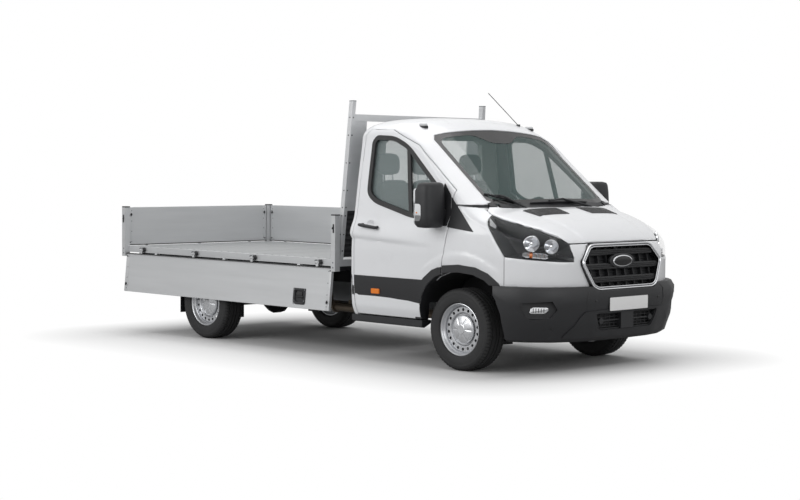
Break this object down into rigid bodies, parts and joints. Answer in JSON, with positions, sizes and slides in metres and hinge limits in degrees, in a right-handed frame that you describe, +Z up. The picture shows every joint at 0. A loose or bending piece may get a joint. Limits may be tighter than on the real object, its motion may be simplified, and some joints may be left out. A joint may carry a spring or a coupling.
{
  "type": "flatbed truck",
  "caption": "Light flatbed truck with a single cab, a dropside bed with folding side and tail boards, a ladder headboard and steerable front wheels.",
  "frame": {"origin": "on the ground under the middle of the overall length and width", "axes": "+X forward, +Y to the truck's left, +Z up"},
  "size_m": [5.865, 2.4572, 2.4194],
  "materials": {
    "white_paint": "clean white gloss paint",
    "black_plastic": "grained black plastic",
    "chrome": "bright chrome",
    "glass": "green grey tinted glass",
    "lamp": "clear lens over a dark housing",
    "rubber": "black tyre rubber",
    "silver_steel": "silver painted steel",
    "dark_steel": "black chassis paint",
    "grey_steel": "grey coated chassis steel",
    "aluminium": "mill finish aluminium extrusion",
    "grey_panel": "grey coated panel",
    "cloth": "dark grey woven seat cloth",
    "exhaust_steel": "heat browned steel"
  },
  "bodies": {
    "truck": {"aerial": "black_plastic", "bed_floor": "aluminium", "bed_frame": "aluminium", "bed_subframe": "dark_steel", "cab_shell": "white_paint", "chassis_frame": "grey_steel", "cowl": "black_plastic", "dashboard": "black_plastic", "engine_block": "dark_steel", "exhaust": "exhaust_steel", "flare_left": "black_plastic", "flare_right": "black_plastic", "front_bumper": "black_plastic", "front_panel_left": "white_paint", "front_panel_right": "white_paint", "front_subframe": "dark_steel", "fuel_tank": "black_plastic", "grille": "black_plastic", "grille_frame": "chrome", "headboard": "grey_panel", "headlamp_left": "lamp", "headlamp_right": "lamp", "mudguard_left": "black_plastic", "mudguard_right": "black_plastic", "propshaft": "dark_steel", "rear_axle": "dark_steel", "rear_lamp_bar": "black_plastic", "rear_window": "glass", "seat_bench": "cloth", "seat_driver": "cloth", "side_step_left": "black_plastic", "side_step_right": "black_plastic", "windscreen": "glass", "wing_left": "white_paint", "wing_right": "white_paint"},
    "door_left": {"door_left": "white_paint", "door_glass_left": "glass", "door_cladding_left": "black_plastic", "mirror_left": "black_plastic"},
    "knuckle_left": {"knuckle_left": "dark_steel"},
    "board_left": {"board_left": "aluminium"},
    "wheel_front_left": {"rim_front_left": "silver_steel", "tyre_front_left": "rubber"},
    "wheel_rear_left": {"rim_rear_left": "silver_steel", "tyre_rear_left": "rubber"},
    "door_right": {"door_right": "white_paint", "door_glass_right": "glass", "door_cladding_right": "black_plastic", "mirror_right": "black_plastic"},
    "knuckle_right": {"knuckle_right": "dark_steel"},
    "board_right": {"board_right": "aluminium"},
    "wheel_front_right": {"rim_front_right": "silver_steel", "tyre_front_right": "rubber"},
    "wheel_rear_right": {"rim_rear_right": "silver_steel", "tyre_rear_right": "rubber"},
    "bonnet": {"bonnet": "white_paint"},
    "board_tail": {"board_tail": "aluminium"},
    "steering_wheel": {"steering_wheel": "black_plastic"}
  },
  "joints": [
    {"name": "steer_left", "type": "hinge", "parent": "truck", "child": "knuckle_left", "pos_m": [1.8875, 0.781, 0.35], "axis": [0, 0, 1], "range_deg": [-36, 36]},
    {"name": "steer_right", "type": "hinge", "parent": "truck", "child": "knuckle_right", "pos_m": [1.8875, -0.781, 0.35], "axis": [0, 0, 1], "range_deg": [-36, 36]},
    {"name": "steering_wheel_turn", "type": "hinge", "parent": "truck", "child": "steering_wheel", "pos_m": [1.4575, 0.43, 1.29], "axis": [-0.848, 0, 0.5299], "range_deg": [-540, 540]},
    {"name": "door_right_swing", "type": "hinge", "parent": "truck", "child": "door_right", "pos_m": [1.7475, -1.034, 0.6], "axis": [0, 0, 1], "range_deg": [0, 68]},
    {"name": "door_left_swing", "type": "hinge", "parent": "truck", "child": "door_left", "pos_m": [1.7475, 1.034, 0.6], "axis": [0, 0, -1], "range_deg": [0, 68]},
    {"name": "bonnet_lift", "type": "hinge", "parent": "truck", "child": "bonnet", "pos_m": [2.0525, 0, 1.386], "axis": [0, -1, 0], "range_deg": [0, 50]},
    {"name": "board_left_drop", "type": "hinge", "parent": "truck", "child": "board_left", "pos_m": [-1.2845, 0.975, 0.8365], "axis": [-1, 0, 0], "range_deg": [0, 174.5]},
    {"name": "board_right_raise", "type": "hinge", "parent": "truck", "child": "board_right", "pos_m": [-1.2845, -0.975, 0.8365], "axis": [-1, 0, 0], "range_deg": [0, 174.5]},
    {"name": "board_tail_drop", "type": "hinge", "parent": "truck", "child": "board_tail", "pos_m": [-2.9075, 0, 0.8365], "axis": [0, -1, 0], "range_deg": [0, 174.5]},
    {"name": "wheel_front_left_spin", "type": "hinge", "parent": "knuckle_left", "child": "wheel_front_left", "pos_m": [1.8875, 0.866, 0.35], "axis": [0, 1, 0], "continuous": true},
    {"name": "wheel_front_right_spin", "type": "hinge", "parent": "knuckle_right", "child": "wheel_front_right", "pos_m": [1.8875, -0.866, 0.35], "axis": [0, 1, 0], "continuous": true},
    {"name": "wheel_rear_left_spin", "type": "hinge", "parent": "truck", "child": "wheel_rear_left", "pos_m": [-1.6165, 0.83, 0.35], "axis": [0, 1, 0], "continuous": true},
    {"name": "wheel_rear_right_spin", "type": "hinge", "parent": "truck", "child": "wheel_rear_right", "pos_m": [-1.6165, -0.83, 0.35], "axis": [0, 1, 0], "continuous": true}
  ],
  "couplings": [
    {"joint": "steer_right", "follows": "steer_left", "ratio": 1},
    {"joint": "steering_wheel_turn", "follows": "steer_left", "ratio": 15}
  ]
}
